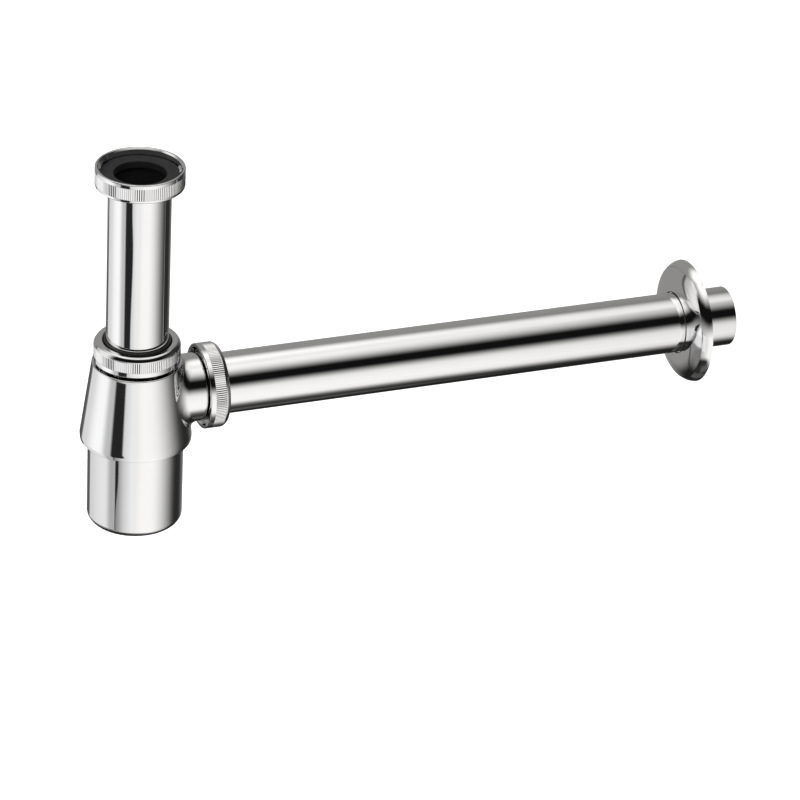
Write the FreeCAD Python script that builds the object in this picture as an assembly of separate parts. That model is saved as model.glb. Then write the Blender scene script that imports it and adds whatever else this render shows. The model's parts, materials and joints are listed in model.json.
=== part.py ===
"""Chromed brass bottle trap for a basin, in millimetres.

The inlet axis is Z and the outlet tube runs along +X to the wall. The origin is the centre of the
top face of the inlet washer, where the tail of the basin waste seats.
"""
import FreeCAD
import Part
import math
import os

# Tubes
tube_od = 32.0
inlet_tube_wall = 1.0
outlet_tube_wall = 1.0
outlet_tube_length = 300.0
tube_end_chamfer = 0.3
sized_end_step = 0.2
sized_end_margin = 0.6

# Heights and depths of the trap
inlet_to_outlet_drop = 125.8
dip_below_outlet = 50.6
sump_below_dip = 19.5
outlet_insertion = 11.2

# Inlet union: G 1 1/4 parallel thread, flat washer, flanged tube
inlet_thread_minor_radius = 19.476
inlet_thread_depth = 1.479
inlet_nut_wall = 1.65
inlet_nut_rise = 3.6
inlet_nut_lip = 1.3
inlet_mouth_lead = 0.25
inlet_mouth_depth = 0.7
pocket_undercut = 1.2
washer_thickness = 3.9
washer_hole_radius = 13.3
washer_rim_gap = 0.3
tube_flange_thickness = 1.0
tube_flange_gap = 0.8
lip_gap = 0.1

# Slip joint glands, alike at the neck and at the outlet
guide_clearance = 0.3
grip_clearance = 0.1
seat_step = 0.7
seat_taper = 2.0
seat_depth = 4.4
seal_clearance = 0.1
seal_head = 1.0
slip_flange_thickness = 1.0
slip_collar_wall = 0.95
slip_collar_gap = 0.2
slip_collar_rise = 0.5
slip_rim_gap = 0.6
thread_wall = 1.1
thread_clearance = 0.15
thread_ring_length = 4.7
gland_nut_wall = 1.95
gland_nut_web = 1.6
web_gap = 0.1
neck_height = 7.7
nut_standoff = 0.4

# Nut edges
nut_shoulder_round = 2.8
nut_edge_bevel = 0.5
nut_bore_bevel = 0.4

# Cast body
stub_wall = 1.45
body_wall = 1.5
dip_water_gap = 5.4
crown_margin = 3.15
crown_round = 0.8
chamber_roof = 2.2
branch_clear = 4.2
branch_blend = 2.3
skirt_wall = 4.3
skirt_round = 1.8
ledge_wall = 1.1

# Cup and its seal
cup_water_gap = 7.15
cup_wall = 1.5
cup_thread_length = 5.0
cup_edge_round = 2.8
cup_seal_thickness = 1.5
cup_seal_inset = 0.15

# Wall flange, pressed from sheet
flange_od = 65.7
flange_sheet = 0.9
flange_clearance = 0.15
flange_from_tube_end = 21.5
flange_height = 8.2
flange_skirt_height = 2.65
flange_skirt_inset = 0.47
flange_shoulder_height = 5.26
flange_shoulder_inset = 2.65
flange_crest_inset = 7.75
flange_dome_round = 21.8
flange_lip_bevel = 0.3

# Round edges are turned in chords of about this angle, or shorter ones that stay this near the arc
chord_turn = math.radians(45)
chord_depth = 0.22

# Shared radii
tube_radius = tube_od / 2
inlet_thread_major_radius = inlet_thread_minor_radius + inlet_thread_depth
guide_radius = tube_radius + guide_clearance
grip_radius = tube_radius + grip_clearance
seat_foot_radius = guide_radius + seat_step
seat_mouth_radius = seat_foot_radius + seat_taper
male_thread_radius = seat_mouth_radius + thread_wall
female_thread_radius = male_thread_radius + thread_clearance
gland_nut_radius = female_thread_radius + gland_nut_wall
slip_collar_radius = grip_radius + slip_collar_wall
gland_bore_radius = slip_collar_radius + slip_collar_gap
stub_radius = guide_radius + stub_wall
chamber_radius = tube_radius + dip_water_gap
crown_radius = chamber_radius + body_wall
cup_radius = tube_radius + cup_water_gap + cup_wall
cup_pocket_radius = cup_radius + thread_clearance
skirt_radius = cup_pocket_radius + skirt_wall

# Shared levels
axis_z = -inlet_to_outlet_drop
crown_z = axis_z + stub_radius + crown_margin
neck_end_z = crown_z + neck_height
ledge_z = axis_z - guide_radius - ledge_wall
cup_rim_z = ledge_z - cup_seal_thickness
skirt_z = cup_rim_z - cup_thread_length
dip_end_z = axis_z - dip_below_outlet
cup_floor_z = dip_end_z - sump_below_dip
branch_end_x = skirt_radius + branch_clear + neck_height - nut_standoff
outlet_inner_x = branch_end_x - outlet_insertion
outlet_end_x = outlet_inner_x + outlet_tube_length
flange_back_x = outlet_end_x - flange_from_tube_end

UP = FreeCAD.Vector(0, 0, 1)
CENTRE = FreeCAD.Vector(0, 0, 0)
ALONG_OUTLET = FreeCAD.Rotation(FreeCAD.Vector(0, 1, 0), 90)
AGAINST_OUTLET = FreeCAD.Rotation(FreeCAD.Vector(0, 1, 0), -90)


def inside_corner(before, corner, after, distance):
    """Point inside a corner of an outline at the same distance from both of its sides."""
    towards_before = (before - corner).normalize()
    towards_after = (after - corner).normalize()
    half_angle = towards_before.getAngle(towards_after) / 2
    return corner + (towards_before + towards_after).normalize() * (distance / math.sin(half_angle))


def rounded_corner(before, corner, after, rounding):
    """Points along the arc that rounds one corner of an outline, in chords of equal length."""
    towards_before = (before - corner).normalize()
    towards_after = (after - corner).normalize()
    half_angle = towards_before.getAngle(towards_after) / 2
    centre = inside_corner(before, corner, after, rounding)
    start = corner + towards_before * (rounding / math.tan(half_angle)) - centre
    end = corner + towards_after * (rounding / math.tan(half_angle)) - centre
    turn = start.getAngle(end)
    shallow_turn = 2 * math.acos(1 - chord_depth / max(rounding, chord_depth))
    chords = math.ceil(turn / min(chord_turn, shallow_turn) - 0.01)
    points = []
    for step in range(chords + 1):
        share = step * turn / chords
        radial = (start * math.sin(turn - share) + end * math.sin(share)) * (1 / math.sin(turn))
        points.append(centre + radial)
    return points


def turned(outline):
    """Solid turned about Z from a closed outline of (radius, height, optional corner rounding)."""
    corners = [FreeCAD.Vector(point[0], 0, point[1]) for point in outline]
    points = []
    for index, corner in enumerate(corners):
        rounding = outline[index][2] if len(outline[index]) > 2 else 0
        if rounding > 0:
            after = corners[(index + 1) % len(corners)]
            points += rounded_corner(corners[index - 1], corner, after, rounding)
        else:
            points.append(corner)
    return Part.Face(Part.makePolygon(points + points[:1])).revolve(CENTRE, UP, 360)


def at_neck(shape):
    """Put a gland piece, made with the thread's end at height zero, on the neck."""
    placed = shape.copy()
    placed.Placement = FreeCAD.Placement(FreeCAD.Vector(0, 0, neck_end_z), FreeCAD.Rotation())
    return placed


def at_branch(shape):
    """Put a gland piece, made with the thread's end at height zero, on the side branch."""
    placed = shape.copy()
    placed.Placement = FreeCAD.Placement(FreeCAD.Vector(branch_end_x, 0, axis_z), ALONG_OUTLET)
    return placed


def inlet_union():
    """Nut, washer and flanged dip tube that hang from the tail of the basin waste."""
    pocket_radius = inlet_thread_minor_radius + pocket_undercut
    mouth_radius = inlet_thread_major_radius + inlet_mouth_lead
    nut_radius = inlet_thread_major_radius + inlet_nut_wall
    flange_bottom = -washer_thickness - tube_flange_thickness
    lip_top = flange_bottom - lip_gap
    nut_bottom = lip_top - inlet_nut_lip
    nut = turned([
        (guide_radius, nut_bottom),
        (nut_radius - nut_edge_bevel, nut_bottom),
        (nut_radius, nut_bottom + nut_edge_bevel),
        (nut_radius, inlet_nut_rise - nut_edge_bevel),
        (nut_radius - nut_edge_bevel, inlet_nut_rise),
        (mouth_radius, inlet_nut_rise),
        (inlet_thread_minor_radius, inlet_nut_rise - inlet_mouth_depth),
        (inlet_thread_minor_radius, 0),
        (pocket_radius, 0),
        (pocket_radius, lip_top),
        (guide_radius, lip_top),
    ])
    washer = turned([
        (washer_hole_radius, -washer_thickness),
        (pocket_radius - washer_rim_gap, -washer_thickness),
        (pocket_radius - washer_rim_gap, 0),
        (washer_hole_radius, 0),
    ])
    flange_radius = pocket_radius - tube_flange_gap
    inner_radius = tube_radius - inlet_tube_wall
    dip_tube = turned([
        (inner_radius, dip_end_z),
        (tube_radius - tube_end_chamfer, dip_end_z),
        (tube_radius, dip_end_z + tube_end_chamfer),
        (tube_radius, flange_bottom),
        (flange_radius, flange_bottom),
        (flange_radius, -washer_thickness),
        (inner_radius, -washer_thickness),
    ])
    return nut, washer, dip_tube


def gland_pieces():
    """Nut, slip ring and wedge seal of one gland, with the thread's end at height zero."""
    ring_top = seal_head + slip_flange_thickness
    web_bottom = ring_top + web_gap
    nut_top = web_bottom + gland_nut_web
    nut_bottom = nut_standoff - neck_height
    nut = turned([
        (gland_bore_radius + nut_bore_bevel, nut_top),
        (gland_bore_radius, nut_top - nut_bore_bevel),
        (gland_bore_radius, web_bottom),
        (female_thread_radius, web_bottom),
        (female_thread_radius, nut_bottom),
        (gland_nut_radius - nut_edge_bevel, nut_bottom),
        (gland_nut_radius, nut_bottom + nut_edge_bevel),
        (gland_nut_radius, nut_top, nut_shoulder_round),
    ])
    ring = turned([
        (grip_radius, seal_head),
        (female_thread_radius - slip_rim_gap, seal_head),
        (female_thread_radius - slip_rim_gap, ring_top),
        (slip_collar_radius, ring_top),
        (slip_collar_radius, nut_top + slip_collar_rise),
        (grip_radius, nut_top + slip_collar_rise),
    ])
    seal = turned([
        (grip_radius, -seat_depth + seal_clearance),
        (seat_foot_radius - seal_clearance, -seat_depth + seal_clearance),
        (seat_mouth_radius - seal_clearance, 0),
        (seat_mouth_radius - seal_clearance, seal_head),
        (grip_radius, seal_head),
    ])
    return nut, ring, seal


def gland_spigot(length):
    """Plain stub with the threaded ring at its end, from the thread's end downwards."""
    return turned([
        (0, 0),
        (male_thread_radius, 0),
        (male_thread_radius, -thread_ring_length),
        (stub_radius, -thread_ring_length),
        (stub_radius, -length),
        (0, -length),
    ])


def gland_bore(length):
    """Space inside a gland stub: tapered seat for the wedge seal, then the tube's guide."""
    return turned([
        (0, 0),
        (seat_mouth_radius, 0),
        (seat_foot_radius, -seat_depth),
        (guide_radius, -seat_depth),
        (guide_radius, -length),
        (0, -length),
    ])


def lies_on_branch_joint(edge):
    """Whether an edge is part of the curve where the side branch meets the cone."""
    first, last = edge.ParameterRange
    samples = [edge.valueAt(first + (last - first) * step / 8) for step in range(9)]
    on_stub = all(abs(math.hypot(p.y, p.z - axis_z) - stub_radius) < 0.001 for p in samples)
    beside_cone = all(0 < p.x < skirt_radius for p in samples)
    return on_stub and beside_cone and not isinstance(edge.Curve, Part.Line)


def trap_casting():
    """Body cast in one piece: neck, cone with its skirt, and side branch."""
    cone = turned([
        (0, crown_z),
        (crown_radius, crown_z, crown_round),
        (skirt_radius, skirt_z, skirt_round),
        (0, skirt_z),
    ])
    neck = at_neck(gland_spigot(neck_height + chamber_roof / 2))
    branch = at_branch(gland_spigot(branch_end_x))
    joined = cone.fuse(branch)
    joint = [edge for edge in joined.Edges if lies_on_branch_joint(edge)]
    body = joined.makeFillet(branch_blend, joint).fuse(neck)
    chamber = turned([
        (0, crown_z - chamber_roof),
        (chamber_radius, crown_z - chamber_roof),
        (chamber_radius, ledge_z),
        (cup_pocket_radius, ledge_z),
        (cup_pocket_radius, skirt_z),
        (0, skirt_z),
    ])
    neck_bore = at_neck(gland_bore(neck_height + 2 * chamber_roof))
    branch_bore = at_branch(gland_bore(branch_end_x))
    return body.cut([chamber, neck_bore, branch_bore]).removeSplitter()


def cup_and_seal():
    """Unscrewable cup of the trap, and the flat seal between its rim and the body's ledge."""
    inner_radius = cup_radius - cup_wall
    bottom_z = cup_floor_z - cup_wall
    cup = turned([
        (0, bottom_z),
        (cup_radius, bottom_z, cup_edge_round),
        (cup_radius, cup_rim_z),
        (inner_radius, cup_rim_z),
        (inner_radius, cup_floor_z, cup_edge_round - cup_wall),
        (0, cup_floor_z),
    ])
    seal = turned([
        (inner_radius - cup_seal_inset, cup_rim_z),
        (cup_radius - cup_seal_inset, cup_rim_z),
        (cup_radius - cup_seal_inset, ledge_z),
        (inner_radius - cup_seal_inset, ledge_z),
    ])
    return cup, seal


def outlet_pipe():
    """Straight outlet tube, with its wall end sized down a little to enter the waste socket."""
    inner_radius = tube_radius - outlet_tube_wall
    sized_radius = tube_radius - sized_end_step
    sized_start = outlet_tube_length - flange_from_tube_end + sized_end_margin
    pipe = turned([
        (inner_radius, 0),
        (tube_radius - tube_end_chamfer, 0),
        (tube_radius, tube_end_chamfer),
        (tube_radius, sized_start - sized_end_step),
        (sized_radius, sized_start),
        (sized_radius, outlet_tube_length - tube_end_chamfer),
        (sized_radius - tube_end_chamfer, outlet_tube_length),
        (inner_radius, outlet_tube_length),
    ])
    pipe.Placement = FreeCAD.Placement(FreeCAD.Vector(outlet_inner_x, 0, axis_z), ALONG_OUTLET)
    return pipe


def wall_rosette():
    """Pressed wall flange: steep skirt, sloping shoulder and a domed face round a plain hole."""
    rim = FreeCAD.Vector(flange_od / 2, 0, 0)
    knee = FreeCAD.Vector(rim.x - flange_skirt_inset, 0, flange_skirt_height)
    shoulder = FreeCAD.Vector(rim.x - flange_shoulder_inset, 0, flange_shoulder_height)
    crest = FreeCAD.Vector(rim.x - flange_crest_inset, 0, flange_height)
    hole = FreeCAD.Vector(tube_radius + flange_clearance, 0, flange_height)
    knee_inside = inside_corner(rim, knee, shoulder, flange_sheet)
    shoulder_inside = inside_corner(knee, shoulder, crest, flange_sheet)
    crest_inside = inside_corner(shoulder, crest, hole, flange_sheet)
    flange = turned([
        (rim.x - flange_sheet, rim.z),
        (rim.x, rim.z),
        (knee.x, knee.z),
        (shoulder.x, shoulder.z),
        (crest.x, crest.z, flange_dome_round),
        (hole.x + flange_lip_bevel, hole.z),
        (hole.x, hole.z - flange_lip_bevel),
        (hole.x, hole.z - flange_sheet),
        (crest_inside.x, crest_inside.z, flange_dome_round - flange_sheet),
        (shoulder_inside.x, shoulder_inside.z),
        (knee_inside.x, knee_inside.z),
    ])
    flange.Placement = FreeCAD.Placement(FreeCAD.Vector(flange_back_x, 0, axis_z), AGAINST_OUTLET)
    return flange


def all_pieces():
    """Every piece of the trap by its node name."""
    inlet_nut, inlet_washer, inlet_tube = inlet_union()
    nut, ring, seal = gland_pieces()
    cup, cup_seal = cup_and_seal()
    return {
        "inlet_nut": inlet_nut,
        "inlet_washer": inlet_washer,
        "inlet_tube": inlet_tube,
        "neck_nut": at_neck(nut),
        "neck_slip_ring": at_neck(ring),
        "neck_seal": at_neck(seal),
        "trap_body": trap_casting(),
        "cup": cup,
        "cup_seal": cup_seal,
        "outlet_nut": at_branch(nut),
        "outlet_slip_ring": at_branch(ring),
        "outlet_seal": at_branch(seal),
        "outlet_tube": outlet_pipe(),
        "wall_flange": wall_rosette(),
    }


os.makedirs("parts", exist_ok=True)
for name, shape in all_pieces().items():
    shape.exportStep("parts/" + name + ".step")
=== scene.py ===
"""Looks of a chromed brass bottle trap: turned and knurled pieces, rubber seals and a plain studio.

Laid out as a Blender add-on and run as a script. Lengths are in metres in the frame of the part:
Z is the axis of the inlet, X runs along the outlet tube to the wall.
"""
import json
import math
from functools import partial

import bmesh
import bpy
import numpy as np
from mathutils import Matrix, Vector

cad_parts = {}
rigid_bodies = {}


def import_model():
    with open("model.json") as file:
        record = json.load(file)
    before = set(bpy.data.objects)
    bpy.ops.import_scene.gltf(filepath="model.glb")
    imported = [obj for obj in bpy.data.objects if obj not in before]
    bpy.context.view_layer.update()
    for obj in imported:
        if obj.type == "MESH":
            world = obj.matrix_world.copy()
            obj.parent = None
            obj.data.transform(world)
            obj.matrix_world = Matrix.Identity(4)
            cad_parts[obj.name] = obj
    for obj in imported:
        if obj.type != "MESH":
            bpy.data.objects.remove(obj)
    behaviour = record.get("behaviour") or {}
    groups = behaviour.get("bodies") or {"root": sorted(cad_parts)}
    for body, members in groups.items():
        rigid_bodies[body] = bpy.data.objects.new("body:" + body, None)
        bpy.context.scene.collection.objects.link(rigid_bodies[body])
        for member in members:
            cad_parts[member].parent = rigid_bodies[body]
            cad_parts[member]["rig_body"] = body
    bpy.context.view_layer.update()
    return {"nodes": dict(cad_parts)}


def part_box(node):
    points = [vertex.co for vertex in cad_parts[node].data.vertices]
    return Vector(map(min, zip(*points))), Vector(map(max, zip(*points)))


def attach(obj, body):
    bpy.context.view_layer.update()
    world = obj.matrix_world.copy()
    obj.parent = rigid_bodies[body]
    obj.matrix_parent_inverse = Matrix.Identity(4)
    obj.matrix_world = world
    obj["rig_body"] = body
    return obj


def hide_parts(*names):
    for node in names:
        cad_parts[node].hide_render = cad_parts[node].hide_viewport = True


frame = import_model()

bl_info = {
    "name": "Bottle trap",
    "version": (1, 0, 0),
    "blender": (4, 5, 0),
    "location": "View3D > Sidebar > Bottle trap",
    "description": "Builds the visible pieces of a chromed bottle trap and its studio",
    "category": "Object",
}

MM = 0.001
FULL_TURN = 2 * math.pi
NO_TURN = Matrix.Identity(4)
WHITE = (1, 1, 1, 1)

# Fineness of the meshes: columns round a turned form, the grid beside the branch, arcs and shading.
COLUMNS = 216
WINDOW_COLUMNS = 80
WINDOW_ROWS = 28
WINDOW_SHARES = (0.0, 0.06, 0.14, 0.24, 0.36, 0.5, 0.66, 0.83, 1.0)
BLEND_RINGS = 13
ARC_STEP = math.radians(9)
SUPPORT_SHARE = 0.25
SUPPORT_LIMIT = 0.2 * MM
CREASE = math.radians(32)
MERGE_DISTANCE = 1e-6
LEAST_RADIUS = 1e-7
LEAST_AREA = 1e-14

# Roundings of small edges, from sharp to soft.
CRISP = 0.1 * MM
FINE = 0.15 * MM
SLIGHT = 0.2 * MM
BROKEN = 0.3 * MM
SOFT = 0.4 * MM

# Edge and slope at the ends of the recessed band that holds a nut's knurl.
BAND_EDGE = 0.08 * MM
BAND_SLOPE = 0.05 * MM

CHROME = "polished_chrome"
BORE_SHADE = "dull_bore"
RUBBER = "moulded_rubber"
PLASTIC = "slip_ring_black"

# Each finish takes its colour from a setting and has three noises, each with its scale and detail.
# Clouds go on with the shares of the colour in the darkest and lightest place, haze with the least and
# most roughness, and dents with their strength and depth.
FINISH_LOOKS = {
    # Polished chrome plate: faint cloudiness, fine polishing haze and a trace of ripple.
    CHROME: {
        "setting": "chrome", "metallic": 1.0, "cloud": (38, 2, 0.985, 1.01),
        "haze": (420, 5, 0.025, 0.06), "dent": (90, 2, 0.02, 0.1 * MM)},
    # Dull metal inside the tubes, coloured near black as painted shade. It also paints the shade in the
    # washer's hole and round the flange's hole. Stains are drawn out along Z.
    BORE_SHADE: {
        "setting": "bore", "cloud_stretch": (1, 1, 0.3), "cloud": (60, 5, 0.6, 1.25),
        "haze": (300, 4, 0.55, 0.75), "dent": (700, 4, 0.15, 0.1 * MM)},
    # Matt moulded rubber with a dusty bloom.
    RUBBER: {
        "setting": "rubber", "specular": 0.2, "cloud": (140, 6, 0.8, 1.2),
        "haze": (500, 4, 0.58, 0.75), "dent": (1800, 3, 0.12, 0.08 * MM)},
    # Satin black moulded plastic.
    PLASTIC: {
        "setting": "slip_ring", "cloud": (200, 4, 0.8, 1.3),
        "haze": (600, 3, 0.28, 0.42), "dent": (1500, 3, 0.08, 0.06 * MM)},
}


def outer_radius(node):
    """Largest half width across Y of a CAD node."""
    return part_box(node)[1].y


def levels(node):
    """Lowest and highest level of a CAD node along Z."""
    low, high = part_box(node)
    return low.z, high.z


def reaches(node):
    """Nearest and furthest end of a CAD node along X."""
    low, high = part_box(node)
    return low.x, high.x


def outlet_level():
    """Height of the outlet axis."""
    low, high = levels("outlet_tube")
    return (low + high) / 2


def outlet_place(distance, backwards=False):
    """Matrix that lays a piece made about Z on the outlet axis, its zero at this distance along X."""
    turn = Matrix.Rotation(math.radians(-90 if backwards else 90), 4, "Y")
    return Matrix.Translation((distance, 0, outlet_level())) @ turn


def gland_places(kind):
    """Side, node, span and place of a piece of each gland, which is made about Z from height zero."""
    low, high = levels("neck_" + kind)
    near, far = reaches("outlet_" + kind)
    return (
        ("neck", "neck_" + kind, high - low, Matrix.Translation((0, 0, low))),
        ("outlet", "outlet_" + kind, far - near, outlet_place(near)))


def length(label, text, millimetres):
    """A length property."""
    return bpy.props.FloatProperty(
        name=label, description=text, default=millimetres * MM, unit="LENGTH", precision=5)


def tint(label, text, default):
    """A colour property."""
    return bpy.props.FloatVectorProperty(
        name=label, description=text, default=default, size=3, subtype="COLOR", min=0, max=1)


class TrapSizes(bpy.types.PropertyGroup):
    """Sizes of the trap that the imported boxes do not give"""
    tube_wall: length("Tube wall", "Wall of both tubes", 1.0)
    flange_thickness: length("Tube flange", "Thickness of the dip tube's flange", 1.0)
    sized_length: length("Sized end", "Length of the slightly thinner wall end", 20.9)
    sized_step: length("Sized step", "How much thinner the wall end is on the radius", 0.2)
    washer_hole: length("Washer hole", "Radius of the hole in the inlet washer", 13.3)
    knurl_pitch: length("Knurl pitch", "Spacing of the knurl ridges round a nut", 1.1)
    knurl_depth: length("Knurl depth", "Height of the knurl ridges", 0.17)
    knurl_top: length("Knurl margin at the face", "Plain edge above the knurl of a gland nut", 2.65)
    knurl_bottom: length("Knurl margin at the foot", "Plain edge below the knurl of a gland nut", 2.7)
    inlet_knurl_top: length("Inlet knurl margin, top", "Plain edge above the inlet nut's knurl", 2.2)
    inlet_knurl_bottom: length("Inlet knurl margin, foot", "Plain edge below the inlet nut's knurl", 1.5)
    nut_edge: length("Nut edge", "Rounding of the nut edges", 0.5)
    nut_shoulder: length("Nut shoulder", "Reach of a gland nut's shoulder down its side", 2.8)
    nut_chamfer: length("Nut chamfer", "Height of the steep chamfer in a gland nut's shoulder", 2.2)
    thread_pitch: length("Thread pitch", "Pitch of the nut threads", 2.309)
    thread_depth: length("Thread depth", "Depth of the nut threads", 1.2)
    cup_pitch: length("Cup thread pitch", "Pitch of the cup's thread", 2.0)
    guide_radius: length("Guide", "Radius of the bore that guides a tube", 16.3)
    stub_radius: length("Stub", "Radius of the plain neck and branch", 17.75)
    gland_thread: length("Gland thread", "Radius of the gland's male thread", 20.1)
    gland_ring: length("Gland thread length", "Length of the gland's threaded ring", 4.7)
    seat_mouth: length("Seat mouth", "Radius of the tapered seat at its mouth", 19.0)
    seat_foot: length("Seat foot", "Radius of the tapered seat at its foot", 17.0)
    seat_depth: length("Seat depth", "Depth of the tapered seat", 4.4)
    crown_radius: length("Crown", "Radius of the cone at its top corner", 22.9)
    neck_height: length("Neck height", "Height of the neck above the cone", 7.7)
    crown_drop: length("Crown drop", "Step from the neck's foot down to the top of the cone", 1.1)
    crown_round: length("Crown rounding", "Rounding of the cone's top corner", 0.6)
    skirt_radius: length("Skirt", "Radius of the cone at its bottom corner", 29.1)
    skirt_turn: length("Skirt turn", "Height over which the cone's foot turns in to its edge", 1.97)
    chamber_radius: length("Chamber", "Radius of the water chamber", 21.4)
    chamber_roof: length("Chamber roof", "Thickness of the roof over the chamber", 2.2)
    pocket_radius: length("Cup pocket", "Radius of the pocket that takes the cup", 24.8)
    pocket_depth: length("Cup pocket depth", "Depth of the pocket above the skirt", 6.5)
    blend_crown: length("Blend, top", "Reach of the branch's blend up the cone", 1.0)
    blend_foot: length("Blend, foot", "Reach of the branch's blend down the cone", 3.4)
    blend_side: length("Blend, sides", "Reach of the branch's blend round the cone", 3.0)
    flare_crown: length("Flare, top", "Reach of the blend along the top of the branch", 6.0)
    flare_foot: length("Flare, foot", "Reach of the blend along the foot of the branch", 3.6)
    flare_side: length("Flare, sides", "Reach of the blend along the sides of the branch", 3.2)
    cup_wall: length("Cup wall", "Wall of the cup", 1.5)
    cup_round: length("Cup rounding", "Rounding of the cup's bottom edge", 4.2)
    flange_sheet: length("Flange sheet", "Sheet of the wall flange", 0.9)
    flange_crest_inset: length("Flange crest inset", "Distance of the dome's crest from the rim", 7.75)
    flange_dome: length("Flange dome", "Rounding of the wall flange's domed face", 21.8)
    flange_shoulder: length("Flange shoulder", "Height of the face at the wall flange's shoulder", 5.26)
    flange_shoulder_inset: length("Flange shoulder inset", "Shoulder's distance from the rim", 2.65)
    flange_skirt: length("Flange skirt", "Height of the knee in the wall flange's skirt", 2.65)
    flange_skirt_inset: length("Flange skirt inset", "Knee's distance from the rim", 0.47)


class TrapFinishes(bpy.types.PropertyGroup):
    """Colours of the trap's materials"""
    chrome: tint("Chrome", "Polished chrome plate", (0.87, 0.87, 0.875))
    # Near black: painted shade inside the tubes and in the holes of the washer and the wall flange.
    bore: tint("Bore", "Dull metal inside the tubes", (0.014, 0.013, 0.013))
    rubber: tint("Rubber", "Washer and seals", (0.02, 0.02, 0.0205))
    slip_ring: tint("Slip ring", "Black slip rings", (0.012, 0.012, 0.013))


class TrapStage(bpy.types.PropertyGroup):
    """Camera, floor and light"""
    camera_place: bpy.props.FloatVectorProperty(
        name="Camera place", description="Where the camera stands", subtype="TRANSLATION",
        default=(-0.53948, -1.72339, 0.87989))
    camera_aim: bpy.props.FloatVectorProperty(
        name="Camera aim", description="Point in the middle of the picture", subtype="TRANSLATION",
        default=(0.144855, 0.0, -0.15054))
    camera_roll: bpy.props.FloatProperty(
        name="Camera roll", description="Turn about the line of sight", subtype="ANGLE",
        default=math.radians(3.078))
    lens: bpy.props.FloatProperty(
        name="Lens", description="Focal length on a 36 mm wide sensor, in millimetres", default=181.73)
    floor_level: length("Floor level", "Height of the floor", -620)
    tent_radius: length("Tent radius", "Radius of the light tent that the chrome reflects", 2400)
    panel_distance: length("Panel distance", "Distance of the left panel from the inlet axis", 550)


def rounded_outline(corners, closed=True):
    """Outline points from (radius, height, optional rounding) corners, with fine arcs.

    Beside each arc the straight run gets one more point, so that the shading of the arc stays there.
    """
    points = []
    total = len(corners)
    for index, corner in enumerate(corners):
        here = Vector(corner[:2])
        rounding = corner[2] if len(corner) > 2 else 0.0
        if rounding == 0.0 or (not closed and index in (0, total - 1)):
            points.append(here)
            continue
        before = Vector(corners[index - 1][:2])
        after = Vector(corners[(index + 1) % total][:2])
        to_before = (before - here).normalized()
        to_after = (after - here).normalized()
        half = to_before.angle(to_after) / 2
        setback = rounding / math.tan(half)
        centre = here + (to_before + to_after).normalized() * (rounding / math.sin(half))
        start = here + to_before * setback - centre
        end = here + to_after * setback - centre
        turn = start.angle(end)
        support = min(SUPPORT_SHARE * rounding, SUPPORT_LIMIT)
        if (before - here).length > setback + 3 * support:
            points.append(here + to_before * (setback + support))
        steps = max(3, math.ceil(turn / ARC_STEP))
        for step in range(steps + 1):
            share = turn * step / steps
            spoke = (start * math.sin(turn - share) + end * math.sin(share)) / math.sin(turn)
            points.append(centre + spoke)
        if (after - here).length > setback + 3 * support:
            points.append(here + to_after * (setback + support))
    return points


def ring_about_z(radius, height):
    """One ring of points round Z, or a single point on the axis."""
    if radius < LEAST_RADIUS:
        return [(0.0, 0.0, height)]
    turn = np.arange(COLUMNS) * (FULL_TURN / COLUMNS)
    return np.stack([radius * np.cos(turn), radius * np.sin(turn), np.full(COLUMNS, height)], axis=1)


def add_rings(shell, rings, wrap=False):
    """Skin consecutive rings of points. A ring of one point closes the end."""
    rows = [[shell.verts.new(point) for point in ring] for ring in rings]
    pairs = list(zip(rows, rows[1:]))
    if wrap:
        pairs.append((rows[-1], rows[0]))
    for low, high in pairs:
        count = max(len(low), len(high))
        for column in range(count):
            following = (column + 1) % count
            loop = [low[column % len(low)]]
            if len(low) > 1:
                loop.append(low[following])
            if len(high) > 1:
                loop.append(high[following])
            loop.append(high[column % len(high)])
            shell.faces.new(loop)


def add_object(context, name, data):
    """New object in the scene."""
    item = bpy.data.objects.new(name, data)
    context.scene.collection.objects.link(item)
    return item


def new_material(name):
    """New material and its node tree."""
    material = bpy.data.materials.new(name)
    material.use_nodes = True
    return material, material.node_tree


def shell_object(context, shell, name, finishes, place=NO_TURN):
    """Finish a mesh under construction and make it an object that sits at the origin."""
    bmesh.ops.remove_doubles(shell, verts=shell.verts, dist=MERGE_DISTANCE)
    lost = [face for face in shell.faces if face.calc_area() < LEAST_AREA]
    bmesh.ops.delete(shell, geom=lost, context="FACES")
    bmesh.ops.recalc_face_normals(shell, faces=shell.faces)
    bmesh.ops.transform(shell, matrix=place, verts=shell.verts)
    for face in shell.faces:
        face.smooth = True
    for edge in shell.edges:
        edge.smooth = edge.calc_face_angle(0.0) < CREASE
    mesh = bpy.data.meshes.new(name)
    shell.to_mesh(mesh)
    shell.free()
    for finish in finishes:
        mesh.materials.append(finish_named(context, finish))
    return add_object(context, name, mesh)


def turned_piece(context, name, finishes, corners, place=NO_TURN):
    """Closed turned solid about Z from an outline of (radius, height, optional rounding) corners."""
    shell = bmesh.new()
    rings = [ring_about_z(point.x, point.y) for point in rounded_outline(corners)]
    add_rings(shell, rings, wrap=len(rings[0]) > 1 or len(rings[-1]) > 1)
    return shell_object(context, shell, name, finishes, place)


def take_over(piece, node):
    """Let a piece stand for a CAD node on the node's own body."""
    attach(piece, frame["nodes"][node]["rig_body"])
    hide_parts(node)


def paint_bore_shade(piece, radius, axis_level=None):
    """Give the faces of a tube's inside the second material, the near-black bore finish that paints the
    shade in there.
    """
    for face in piece.data.polygons:
        centre = face.center
        across = centre.x if axis_level is None else centre.z - axis_level
        if math.hypot(centre.y, across) < radius:
            face.material_index = 1


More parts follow.
